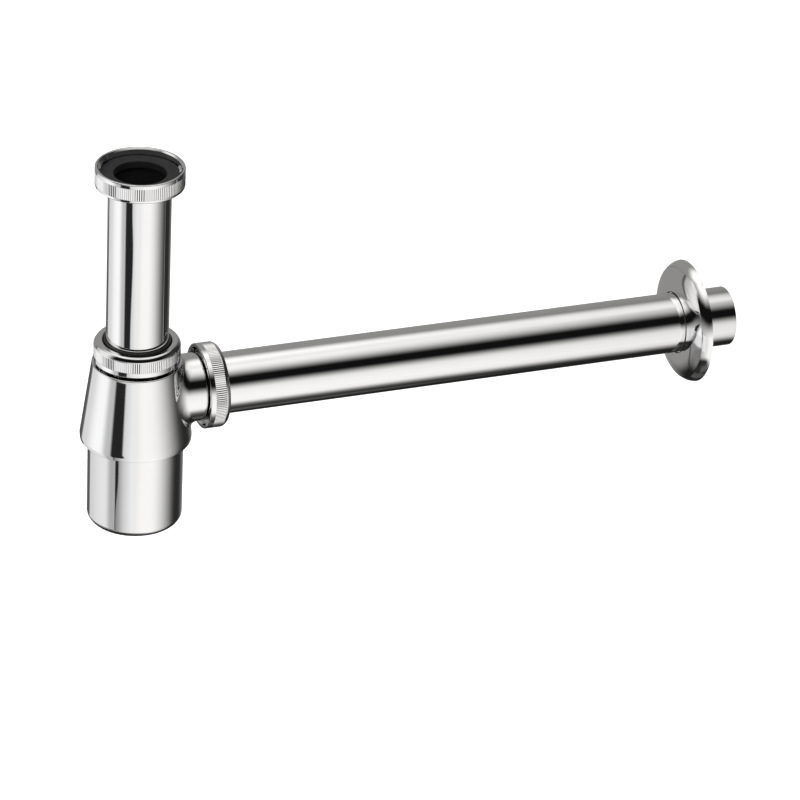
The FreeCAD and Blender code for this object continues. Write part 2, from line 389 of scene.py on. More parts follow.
def add_node(tree, kind, inputs=None, output=0, **options):
    """Add a node and give one of its outputs. An input is a value, or a socket to link."""
    node = tree.nodes.new(kind)
    for name, value in options.items():
        setattr(node, name, value)
    for name, value in (inputs or {}).items():
        if isinstance(value, bpy.types.NodeSocket):
            tree.links.new(value, node.inputs[name])
        else:
            node.inputs[name].default_value = value
    return node.outputs[output]


def arithmetic(tree, operation, *values):
    """Math node on values or sockets."""
    return add_node(tree, "ShaderNodeMath", dict(enumerate(values)), operation=operation)


def new_tree(name, inputs):
    """Empty Geometry Nodes tree with named inputs, and the sockets that give them."""
    tree = bpy.data.node_groups.new(name, "GeometryNodeTree")
    for label, kind in {"Geometry": "Geometry", **inputs}.items():
        tree.interface.new_socket(label, in_out="INPUT", socket_type="NodeSocket" + kind)
    tree.interface.new_socket("Geometry", in_out="OUTPUT", socket_type="NodeSocketGeometry")
    return tree, tree.nodes.new("NodeGroupInput").outputs


def finish_tree(tree, given, ridges):
    """Shade ridges flat, join them to the piece, make them real and give all of it one material."""
    flat = add_node(tree, "GeometryNodeSetShadeSmooth", {"Geometry": ridges, "Shade Smooth": False})
    join = add_node(tree, "GeometryNodeJoinGeometry", {0: flat})
    tree.links.new(given["Geometry"], join.node.inputs[0])
    real = add_node(tree, "GeometryNodeRealizeInstances", {"Geometry": join})
    paint = add_node(tree, "GeometryNodeSetMaterial", {"Geometry": real, "Material": given["Finish"]})
    tree.links.new(paint, tree.nodes.new("NodeGroupOutput").inputs[0])
    return tree


def knurl_tree():
    """Straight knurl: one ridge, set round Z in a band. Its top end follows a rounded shoulder inwards."""
    tree, given = new_tree("Straight knurl", {
        "Ridges": "Int", "Root radius": "Float", "Low": "Float", "High": "Float", "Depth": "Float",
        "Shoulder": "Float", "Shoulder foot": "Float", "Finish": "Material"})
    node, maths = partial(add_node, tree), partial(arithmetic, tree)
    crest_share = 0.14
    path_points = 9
    middle = maths("MULTIPLY_ADD", given["Depth"], 0.5, given["Root radius"])
    ring = node("GeometryNodeMeshCircle", {"Vertices": given["Ridges"], "Radius": middle})
    girth = maths("MULTIPLY", given["Root radius"], FULL_TURN)
    pitch = maths("DIVIDE", girth, given["Ridges"])
    section = node("GeometryNodeCurvePrimitiveQuadrilateral", {
        "Bottom Width": pitch, "Top Width": maths("MULTIPLY", pitch, crest_share),
        "Height": given["Depth"], "Offset": 0.0}, mode="TRAPEZOID")
    start = node("ShaderNodeCombineXYZ", {"Z": given["Low"]})
    end = node("ShaderNodeCombineXYZ", {"Z": given["High"]})
    line = node("GeometryNodeCurvePrimitiveLine", {"Start": start, "End": end})
    path = node("GeometryNodeResampleCurve", {"Curve": line, "Count": path_points})
    position = node("GeometryNodeInputPosition")
    place = node("ShaderNodeSeparateXYZ", {0: position}).node.outputs
    above = maths("SUBTRACT", place["Z"], given["Shoulder foot"])
    above_square = maths("POWER", maths("MAXIMUM", above, 0.0), 2.0)
    shoulder_square = maths("POWER", given["Shoulder"], 2.0)
    out = maths("POWER", maths("SUBTRACT", shoulder_square, above_square), 0.5)
    inward = maths("SUBTRACT", out, given["Shoulder"])
    shift = node("ShaderNodeCombineXYZ", {"Y": inward})
    bent = node("GeometryNodeSetPosition", {"Geometry": path, "Offset": shift})
    ridge = node("GeometryNodeCurveToMesh", {
        "Curve": bent, "Profile Curve": section, "Fill Caps": True})
    outward = maths("ARCTAN2", place["Y"], place["X"])
    facing = node("ShaderNodeCombineXYZ", {"Z": maths("SUBTRACT", outward, math.pi / 2)})
    turn = node("FunctionNodeEulerToRotation", {0: facing})
    copies = node("GeometryNodeInstanceOnPoints", {
        "Points": ring, "Instance": ridge, "Rotation": turn})
    return finish_tree(tree, given, copies)


def thread_tree():
    """Screw thread: one ridge of lozenge section along a helix, half sunk in its wall."""
    tree, given = new_tree("Screw thread", {
        "Radius": "Float", "Low": "Float", "Turns": "Float", "Pitch": "Float", "Depth": "Float",
        "Place": "Vector", "Turn": "Rotation", "Finish": "Material"})
    node, maths = partial(add_node, tree), partial(arithmetic, tree)
    half_width_share = 0.44
    points_per_turn = 96
    helix = node("GeometryNodeCurveSpiral", {
        "Resolution": points_per_turn, "Rotations": given["Turns"],
        "Start Radius": given["Radius"], "End Radius": given["Radius"],
        "Height": maths("MULTIPLY", given["Turns"], given["Pitch"])})
    upright = node("GeometryNodeSetCurveNormal", {"Curve": helix}, mode="Z_UP")
    lozenge = node("GeometryNodeCurvePrimitiveCircle", {"Resolution": 4, "Radius": 1.0})
    half_width = maths("MULTIPLY", given["Pitch"], half_width_share)
    stretch = node("ShaderNodeCombineXYZ", {"X": given["Depth"], "Y": half_width, "Z": 1.0})
    section = node("GeometryNodeTransform", {"Geometry": lozenge, "Scale": stretch})
    ridge = node("GeometryNodeCurveToMesh", {
        "Curve": upright, "Profile Curve": section, "Fill Caps": True})
    lift = node("ShaderNodeCombineXYZ", {"Z": given["Low"]})
    raised = node("GeometryNodeTransform", {"Geometry": ridge, "Translation": lift})
    placed = node("GeometryNodeTransform", {
        "Geometry": raised, "Translation": given["Place"], "Rotation": given["Turn"]})
    return finish_tree(tree, given, placed)


def grow(piece, tree, values):
    """Run a tree on a piece with these inputs, and keep the result as the piece's plain mesh."""
    modifier = piece.modifiers.new(tree.name, "NODES")
    modifier.node_group = tree
    for item in tree.interface.items_tree:
        if item.in_out == "INPUT" and item.name in values:
            modifier[item.identifier] = values[item.name]
    graph = bpy.context.evaluated_depsgraph_get()
    grown = bpy.data.meshes.new_from_object(piece.evaluated_get(graph), depsgraph=graph)
    old = piece.data
    piece.modifiers.remove(modifier)
    piece.data = grown
    grown.name = piece.name
    bpy.data.meshes.remove(old)


def cut_thread(context, piece, radius, low, turns, pitch, depth, place=(0, 0, 0), turn=(0, 0, 0)):
    """Add a screw thread to a piece. It is made about Z, then turned and placed."""
    tree = bpy.data.node_groups.get("Screw thread") or thread_tree()
    grow(piece, tree, {
        "Radius": radius, "Low": low, "Turns": turns, "Pitch": pitch, "Depth": depth,
        "Place": place, "Turn": turn, "Finish": finish_named(context, CHROME)})


def shade(colour, factor):
    """A colour made darker or lighter, opaque."""
    return (*(min(1.0, channel * factor) for channel in colour), 1)


def grained_finish(name, colour, looks):
    """Material whose colour, roughness and dents follow noise on the object's own coordinates."""
    finish, tree = new_material(name)
    shader = tree.nodes["Principled BSDF"]
    place = add_node(tree, "ShaderNodeTexCoord", output="Object")

    def noise(part):
        scale, detail = looks[part][:2]
        stretch = looks.get(part + "_stretch", (1, 1, 1))
        stretched = add_node(tree, "ShaderNodeMapping", {"Vector": place, "Scale": stretch})
        return add_node(tree, "ShaderNodeTexNoise", {
            "Vector": stretched, "Scale": scale, "Detail": detail}, output="Fac")

    low, high = 0.3, 0.7
    tones = add_node(tree, "ShaderNodeValToRGB", {0: noise("cloud")})
    for element, position, factor in zip(tones.node.color_ramp.elements, (low, high), looks["cloud"][2:]):
        element.position = position
        element.color = shade(colour, factor)
    tree.links.new(tones, shader.inputs["Base Color"])
    least, most = looks["haze"][2:]
    roughness = add_node(tree, "ShaderNodeMapRange", {
        "Value": noise("haze"), "From Min": low, "From Max": high, "To Min": least, "To Max": most})
    tree.links.new(roughness, shader.inputs["Roughness"])
    strength, depth = looks["dent"][2:]
    bump = add_node(tree, "ShaderNodeBump", {
        "Height": noise("dent"), "Strength": strength, "Distance": depth})
    tree.links.new(bump, shader.inputs["Normal"])
    if "metallic" in looks:
        shader.inputs["Metallic"].default_value = looks["metallic"]
    if "specular" in looks:
        shader.inputs["Specular IOR Level"].default_value = looks["specular"]
    return finish


def finish_named(context, name):
    """One of the trap's four materials, made on first use."""
    looks = FINISH_LOOKS[name]
    colour = getattr(context.scene.trap_finishes, looks["setting"])
    return bpy.data.materials.get(name) or grained_finish(name, colour, looks)


class TRAP_OT_tubes(bpy.types.Operator):
    """Make the flanged dip tube and the outlet tube"""
    bl_idname = "trap.tubes"
    bl_label = "Make tubes"

    def execute(self, context):
        sizes = context.scene.trap_sizes
        radius = outer_radius("outlet_tube")
        inner = radius - sizes.tube_wall
        # Faces within this radius get the near-black bore finish, which paints the shade inside the tube.
        painted_shade_within = radius - 0.6 * sizes.tube_wall
        bottom, top = levels("inlet_tube")
        under_lip = top - sizes.flange_thickness
        lip = outer_radius("inlet_tube")
        dip = turned_piece(context, "dip_tube", (CHROME, BORE_SHADE), [
            (inner, bottom), (radius, bottom, BROKEN), (radius, under_lip, SOFT), (lip, under_lip, SLIGHT),
            (lip, top, SLIGHT), (inner, top, BROKEN)])
        paint_bore_shade(dip, painted_shade_within)
        take_over(dip, "inlet_tube")
        start, end = reaches("outlet_tube")
        span = end - start
        thin = radius - sizes.sized_step
        step = span - sizes.sized_length
        pipe = turned_piece(context, "outlet_pipe", (CHROME, BORE_SHADE), [
            (inner, 0, FINE), (radius, 0, BROKEN),
            (radius, step - sizes.sized_step, SLIGHT), (thin, step, SLIGHT),
            (thin, span, BROKEN), (inner, span, SLIGHT)], outlet_place(start))
        paint_bore_shade(pipe, painted_shade_within, outlet_level())
        take_over(pipe, "outlet_tube")
        return {"FINISHED"}


class TRAP_OT_nuts(bpy.types.Operator):
    """Make the three knurled nuts"""
    bl_idname = "trap.nuts"
    bl_label = "Make nuts"

    def knurled(self, context, piece, radius, low, high, shoulder_foot):
        """Set knurl ridges in the recessed band of a nut made about Z."""
        sizes = context.scene.trap_sizes
        root = radius - sizes.knurl_depth
        tree = bpy.data.node_groups.get("Straight knurl") or knurl_tree()
        grow(piece, tree, {
            "Ridges": round(FULL_TURN * root / sizes.knurl_pitch), "Root radius": root,
            "Low": low, "High": high, "Depth": sizes.knurl_depth, "Shoulder": sizes.nut_shoulder,
            "Shoulder foot": shoulder_foot, "Finish": finish_named(context, CHROME)})

    def inlet_nut(self, context):
        """Union nut with a bevelled mouth and a thread inside."""
        sizes = context.scene.trap_sizes
        edge = sizes.nut_edge
        guide = sizes.guide_radius
        radius = outer_radius("inlet_nut")
        root = radius - sizes.knurl_depth
        bottom, top = levels("inlet_nut")
        low = bottom + sizes.inlet_knurl_bottom
        high = top - sizes.inlet_knurl_top
        washer_room, flange_room = 0.3 * MM, 0.1 * MM
        pocket = outer_radius("inlet_washer") + washer_room
        lip_top = levels("inlet_tube")[1] - sizes.flange_thickness - flange_room
        mouth_width, mouth_depth, mouth_round = 0.75 * MM, 0.8 * MM, 0.35 * MM
        piece = turned_piece(context, "union_nut", (CHROME,), [
            (guide, bottom, BROKEN), (radius, bottom, edge),
            (radius, low, BAND_EDGE), (root, low + BAND_SLOPE),
            (root, high - BAND_SLOPE), (radius, high, BAND_EDGE),
            (radius, top, edge), (pocket + mouth_width, top, mouth_round),
            (pocket, top - mouth_depth, BROKEN), (pocket, lip_top), (guide, lip_top, SLIGHT)])
        self.knurled(context, piece, radius, low, high, high)
        cut_thread(context, piece, radius=pocket + 0.05 * MM, low=0.75 * MM, turns=0.65,
                   pitch=sizes.thread_pitch, depth=sizes.thread_depth)
        take_over(piece, "inlet_nut")

    def gland_nut(self, context, name, node, span, place):
        """Nut with its inner face at height zero and its outer face at its full span."""
        sizes = context.scene.trap_sizes
        radius = outer_radius(node)
        root = radius - sizes.knurl_depth
        bore_step, thread_room, face_wall = 0.5 * MM, 0.15 * MM, 1.6 * MM
        shoulder_round, face_round, bore_round = 1.5 * MM, 2.0 * MM, 1.3 * MM
        bore = sizes.stub_radius - bore_step
        thread = sizes.gland_thread + thread_room
        low = sizes.knurl_bottom
        high = span - sizes.knurl_top
        ceiling = span - face_wall
        chamfer = sizes.nut_chamfer
        face = radius - chamfer * math.tan(math.radians(30))
        crown = rounded_outline([
            (radius, low), (radius, span - chamfer, shoulder_round), (face, span, face_round), (bore, span)],
            closed=False)[1:-1]
        piece = turned_piece(context, name, (CHROME,), [
            (thread, 0, BROKEN), (radius, 0, sizes.nut_edge),
            (radius, low, BAND_EDGE), (root, low + BAND_SLOPE), (root, high - BAND_SLOPE),
            *[tuple(point) for point in crown if point.y > high],
            (bore, span, bore_round), (bore, ceiling, CRISP), (thread, ceiling)])
        self.knurled(context, piece, radius, low, high, span - sizes.nut_shoulder)
        piece.data.transform(place)
        take_over(piece, node)

    def execute(self, context):
        self.inlet_nut(context)
        for side, node, span, place in gland_places("nut"):
            self.gland_nut(context, side + "_gland_nut", node, span, place)
        return {"FINISHED"}


class TRAP_OT_body(bpy.types.Operator):
    """Make the cast body: neck, cone with its skirt, and blended side branch"""
    bl_idname = "trap.body"
    bl_label = "Make body"

    def pierced_wall(self, shell, wall_radius, low, high, hole):
        """Turned wall with a hole for the branch, a grid round most of it and rings from hole to grid.

        The hole is a function of the angle round the branch and gives a turning angle and a height.
        """
        def on_wall(turn, up):
            radius = wall_radius(up)
            return radius * math.cos(turn), radius * math.sin(turn), up

        step = FULL_TURN / COLUMNS
        first = WINDOW_COLUMNS // 2
        heights = np.linspace(low, high, WINDOW_ROWS + 1)
        columns = []
        for column in range(first, COLUMNS - first + 1):
            columns.append([shell.verts.new(on_wall(column * step, up)) for up in heights])
        for left, right in zip(columns, columns[1:]):
            for row in range(WINDOW_ROWS):
                shell.faces.new((left[row], right[row], right[row + 1], left[row + 1]))
        half_turn = WINDOW_COLUMNS * step / 2
        half_rows = WINDOW_ROWS // 2
        turns = np.linspace(half_turn, -half_turn, WINDOW_COLUMNS + 1)
        border = [(half_turn, up) for up in heights[half_rows:-1]]
        border += [(turn, high) for turn in turns[:-1]]
        border += [(-half_turn, up) for up in heights[:0:-1]]
        border += [(turn, low) for turn in turns[:0:-1]]
        border += [(half_turn, up) for up in heights[:half_rows]]
        edge = [hole(FULL_TURN * index / len(border)) for index in range(len(border))]
        rings = []
        for share in WINDOW_SHARES:
            ring = []
            for (turn, up), (edge_turn, edge_up) in zip(border, edge):
                here = edge_turn + (turn - edge_turn) * share
                ring.append(on_wall(here, edge_up + (up - edge_up) * share))
            rings.append(ring)
        add_rings(shell, rings)

    def execute(self, context):
        sizes = context.scene.trap_sizes
        stub, guide, chamber = sizes.stub_radius, sizes.guide_radius, sizes.chamber_radius
        axis = outlet_level()
        skirt_z, neck_end = levels("trap_body")
        crown_z = neck_end - sizes.neck_height
        roof = crown_z - sizes.chamber_roof
        ledge = skirt_z + sizes.pocket_depth
        branch_end = reaches("trap_body")[1]
        lean = (sizes.skirt_radius - sizes.crown_radius) / (crown_z - skirt_z)
        thread_depth, thread_margin = 0.5 * MM, 0.95 * MM
        thread_root = sizes.gland_thread - thread_depth
        neck_round, skirt_round, skirt_slope = 0.5 * MM, 4 * MM, 0.225

        def cone_radius(height):
            return sizes.crown_radius + lean * (crown_z - height)

        def chamber_radius(height):
            return chamber

        def gland_mouth(end):
            """Outline of a gland stub from its foot, over the thread and down the seat into the guide."""
            foot = end - sizes.seat_depth
            ring = end - sizes.gland_ring
            return [
                (stub, ring, SLIGHT), (thread_root, ring, BROKEN), (thread_root, end, SOFT),
                (sizes.seat_mouth, end, FINE), (sizes.seat_foot, foot), (guide, foot)]

        def on_cone(angle, out):
            """Point of the cone beside the branch, at an angle round its axis and a distance from it."""
            across, up = out * math.cos(angle), axis + out * math.sin(angle)
            return Vector((math.sqrt(cone_radius(up) ** 2 - across ** 2), across, up))

        def flare(angle):
            """Where the blend leaves the cone, where its tangents cross, and where it meets the branch."""
            high = math.sin(angle) > 0
            side = math.cos(angle) ** 2
            upright = sizes.blend_crown if high else sizes.blend_foot
            wide = upright + (sizes.blend_side - upright) * side
            upright = sizes.flare_crown if high else sizes.flare_foot
            long = upright + (sizes.flare_side - upright) * side
            out = stub + wide
            nudge = 0.01 * MM
            touch = on_cone(angle, out)
            inward = (on_cone(angle, out - nudge) - on_cone(angle, out + nudge)) / (2 * nudge)
            corner = touch + inward * wide
            return touch, corner, corner + Vector((long, 0, 0))

        def blend_edge(angle):
            touch = flare(angle)[0]
            return math.atan2(touch.y, touch.x), touch.z

        def bore_edge(angle):
            across = guide * math.cos(angle)
            return math.asin(across / chamber), axis + guide * math.sin(angle)

        cone_top = crown_z - sizes.crown_drop
        top_line = rounded_outline([
            (sizes.skirt_radius, skirt_z), (cone_radius(cone_top), cone_top, sizes.crown_round),
            (stub, cone_top, neck_round), *gland_mouth(neck_end),
            (guide, roof), (chamber, roof)], closed=False)[2:]
        turn_z = skirt_z + sizes.skirt_turn
        skirt_edge = sizes.skirt_radius - skirt_slope * sizes.skirt_turn
        foot_line = rounded_outline([
            (sizes.crown_radius, crown_z), (cone_radius(turn_z), turn_z, skirt_round),
            (skirt_edge, skirt_z, FINE), (sizes.pocket_radius, skirt_z, BROKEN),
            (sizes.pocket_radius, ledge), (chamber, ledge)], closed=False)[2:]
        shell = bmesh.new()
        for line in (top_line, foot_line):
            add_rings(shell, [ring_about_z(point.x, point.y) for point in line])
        self.pierced_wall(shell, cone_radius, foot_line[0].y, top_line[0].y, blend_edge)
        self.pierced_wall(shell, chamber_radius, ledge, roof, bore_edge)
        count = 2 * (WINDOW_COLUMNS + WINDOW_ROWS)
        angles = [FULL_TURN * index / count for index in range(count)]
        rings = []
        for share in np.linspace(0, 1, BLEND_RINGS):
            ring = []
            for angle in angles:
                touch, corner, end = flare(angle)
                ring.append(touch.lerp(corner, share).lerp(corner.lerp(end, share), share))
            rings.append(ring)
        mouth = [(stub, 0), *gland_mouth(branch_end), (guide, 0)]
        for point in rounded_outline(mouth, closed=False)[1:-1]:
            out, along = point
            rings.append([(along, out * math.cos(angle), axis + out * math.sin(angle)) for angle in angles])
        inner = []
        for angle in angles:
            turn, up = bore_edge(angle)
            inner.append((chamber * math.cos(turn), chamber * math.sin(turn), up))
        rings.append(inner)
        add_rings(shell, rings)
        piece = shell_object(context, shell, "cast_body", (CHROME,))
        turns = (sizes.gland_ring - 2 * thread_margin) / sizes.thread_pitch
        for place, turn in (((0, 0, neck_end), (0, 0, 0)), ((branch_end, 0, axis), (0, math.pi / 2, 0))):
            cut_thread(context, piece, radius=thread_root, low=thread_margin - sizes.gland_ring, turns=turns,
                       pitch=sizes.thread_pitch, depth=thread_depth, place=place, turn=turn)
        take_over(piece, "trap_body")
        return {"FINISHED"}


class TRAP_OT_cup(bpy.types.Operator):
    """Make the screw-off cup"""
    bl_idname = "trap.cup"
    bl_label = "Make cup"

    def execute(self, context):
        sizes = context.scene.trap_sizes
        radius = outer_radius("cup")
        inner = radius - sizes.cup_wall
        bottom, rim = levels("cup")
        floor = bottom + sizes.cup_wall
        thread_depth, thread_length, run_out, thread_margin = 0.4 * MM, 4.6 * MM, 0.2 * MM, 1.1 * MM
        root = radius - thread_depth
        thread_foot = rim - thread_length
        piece = turned_piece(context, "screw_cup", (CHROME,), [
            (0, bottom), (0.4 * radius, bottom), (radius, bottom, sizes.cup_round),
            (radius, thread_foot, CRISP), (root, thread_foot + run_out, CRISP),
            (root, rim, BROKEN), (inner, rim, SLIGHT),
            (inner, floor, sizes.cup_round - sizes.cup_wall), (0, floor)])
        cut_thread(context, piece, radius=root, low=thread_foot + thread_margin, turns=1.3,
                   pitch=sizes.cup_pitch, depth=thread_depth)
        take_over(piece, "cup")
        return {"FINISHED"}


class TRAP_OT_flange(bpy.types.Operator):
    """Make the pressed wall flange"""
    bl_idname = "trap.flange"
    bl_label = "Make wall flange"

    def execute(self, context):
        sizes = context.scene.trap_sizes
        rim = outer_radius("wall_flange")
        front, back = reaches("wall_flange")
        height = back - front
        sheet = sizes.flange_sheet
        tube_room, bevel_width, bevel_height = 0.15 * MM, 0.6 * MM, 0.4 * MM
        knee_round, inner_knee_round = 7.5 * MM, 6.5 * MM
        shoulder_round, inner_shoulder_round = 2.5 * MM, 1.5 * MM
        bore = outer_radius("outlet_tube") + tube_room
        knee = rim - sizes.flange_skirt_inset
        shoulder = rim - sizes.flange_shoulder_inset
        crest = rim - sizes.flange_crest_inset
        dome = sizes.flange_dome
        outside = [
            (rim, 0), (knee, sizes.flange_skirt, knee_round),
            (shoulder, sizes.flange_shoulder, shoulder_round), (crest, height, dome),
            (bore + bevel_width, height, SLIGHT), (bore, height - bevel_height)]
        # The inside runs one sheet within the outside, with shares of the sheet square to each corner.
        inside = [
            (bore, height - sheet, SLIGHT), (crest - 0.27 * sheet, height - sheet, dome - sheet),
            (shoulder - 0.65 * sheet, sizes.flange_shoulder - 0.78 * sheet, inner_shoulder_round),
            (knee - 0.94 * sheet, sizes.flange_skirt - 0.44 * sheet, inner_knee_round)]
        corners = [(rim - sheet, 0, FINE), *outside, *inside]
        place = outlet_place(back, backwards=True)
        piece = turned_piece(context, "wall_rosette", (CHROME, BORE_SHADE), corners, place)
        # The bore finish on the hole's bevel paints a dark ring of shade in the gap round the tube.
        paint_bore_shade(piece, bore + 0.5 * MM, outlet_level())
        take_over(piece, "wall_flange")
        return {"FINISHED"}


class TRAP_OT_seals(bpy.types.Operator):
    """Make the inlet washer and the slip rings, and finish the hidden seals"""
    bl_idname = "trap.seals"
    bl_label = "Make washer, rings and seals"

    def slip_ring(self, context, name, node, span, place):
        """Flanged ring whose collar stands out of a gland nut, with its flange's foot at height zero."""
        tube_room, collar_wall, flange = 0.1 * MM, 0.95 * MM, 1.0 * MM
        grip = outer_radius("outlet_tube") + tube_room
        rim = outer_radius(node)
        collar = grip + collar_wall
        piece = turned_piece(context, name, (PLASTIC,), [
            (grip, 0, CRISP), (rim, 0, FINE), (rim, flange, FINE), (collar, flange),
            (collar, span, BROKEN), (grip, span, 0.05 * MM)], place)
        take_over(piece, node)

    def execute(self, context):
        hole = context.scene.trap_sizes.washer_hole
        rim = outer_radius("inlet_washer")
        low, high = levels("inlet_washer")
        washer = turned_piece(context, "flat_washer", (RUBBER, BORE_SHADE), [
            (hole, low, BROKEN), (rim, low, BROKEN), (rim, high, 0.35 * MM), (hole, high, 0.5 * MM)])
        # The hole's wall gets the near-black bore finish: painted shade in the rubber washer's hole.
        paint_bore_shade(washer, hole + 0.2 * MM)
        take_over(washer, "inlet_washer")
        for side, node, span, place in gland_places("slip_ring"):
            self.slip_ring(context, side + "_ring_collar", node, span, place)
        for node in ("neck_seal", "outlet_seal", "cup_seal"):
            materials = frame["nodes"][node].data.materials
            materials.clear()
            materials.append(finish_named(context, RUBBER))
        return {"FINISHED"}


def ramp(value, low, high):
    """Smooth rise from 0 to 1 between two values."""
    share = np.clip((value - low) / (high - low), 0, 1)
    return share * share * (3 - 2 * share)


def tent_glow(side, rise):
    """Brightness of the light tent by direction from the trap, in degrees.

    Side is the turn from the camera, positive to its right. Rise is the height over the horizon.
    The front is bright between a dark foot and a dark gap under the ceiling, and it fades to the right.
    The back is dim under a bright ceiling. The left wall is bright and ends in a dark seam.
    """
    right = ramp(side, 15, 55)
    aside = ramp(np.abs(side), 20, 45)
    nadir = 0.03 + 0.11 * right
    nadir += (0.11 - nadir) * ramp(-rise, 62, 76)
    front_floor = nadir + (1.05 - nadir) * ramp(rise, -58 - 10 * right, -46)
    front_floor *= 1 - ramp(rise, -12 + 6 * aside, 22 + 2 * aside)
    front_floor *= 1 - 0.14 * right * ramp(rise, -25, 0)
    front_floor *= 0.78 + 0.24 * ramp(side, -15, 25) - 0.58 * ramp(-side, 5, 60)
    fall = 36 + 5 * ramp(-rise, 27, 31)
    front_floor *= 1 - 0.97 * ramp(side, fall, fall + 78)
    ceiling = 1.13 * ramp(rise, 43 - 4 * aside, 77)
    back_wall = 0.28 - 0.27 * ramp(side, 60, 122) + 0.27 * ramp(side, 132, 178)
    back_wall = 0.08 - 0.07 * ramp(rise, -70, -62) + back_wall * ramp(rise, -50, -34)
    back_ceiling = 0.95 * ramp(rise, 36, 62)
    behind = ramp(np.abs(side), 95, 125)
    glow = (front_floor + ceiling) * (1 - behind) + (back_wall + back_ceiling) * behind
    below = 1 - ramp(rise, 45, 60)
    soft = 1 + 17 * ramp(rise, 5, 30)
    left_wall = ramp(-side, 55, 80) * (1 - ramp(-side, 121 - soft, 121 + soft))
    left_wall *= (0.5 + 0.4 * ramp(side, -118, -97)) * below * ramp(rise, -37, -30)
    seam = ramp(-side, 117.5, 119.5) * (1 - ramp(-side, 122, 125))
    seam *= 1 - ramp(rise, 3, 18)
    return np.maximum(glow, left_wall) * (1 - 0.65 * seam) + 0.006


def panel_glow(side, height):
    """Brightness of the left panel: white, then a black edge beside the camera.

    Low down, where the cup mirrors it, the edge is pale but for a thin black line that tapers downwards.
    """
    low = ramp(-height, 0.4, 0.46)
    white = 0.76 + 0.32 * ramp(side, -118, -80)
    white *= 1 - low * (0.04 + 0.15 * ramp(side, -112, -85))
    white *= 1 - 0.47 * ramp(side, -71, -53)
    foot = -0.53 - 0.06 * ramp(side, -125, -85)
    white *= ramp(height, foot - 0.04, foot + 0.02)
    white *= 1 - ramp(side, -48 + 4 * low, -41 - 1.5 * low)
    gap = 0.02 + 0.25 * low
    edge = -20 + 4.5 * ramp(-height, 0.28, 0.309) - 5.5 * ramp(-height, 0.309, 0.374) - 8 * low
    soft = 2.5 + 11.5 * low
    lit = ramp(side, edge - soft, edge + soft)
    glow = np.maximum(white, gap) * (1 - lit) + (0.75 + 0.2 * ramp(side, -20, 0)) * lit
    taper = -34.8 - 6.7 * ramp(-height, 0.47, 0.5)
    line = ramp(side, -43.6, -42.2) * (1 - ramp(side, taper - 0.8, taper + 0.8))
    return glow * (1 - 0.93 * line * low)


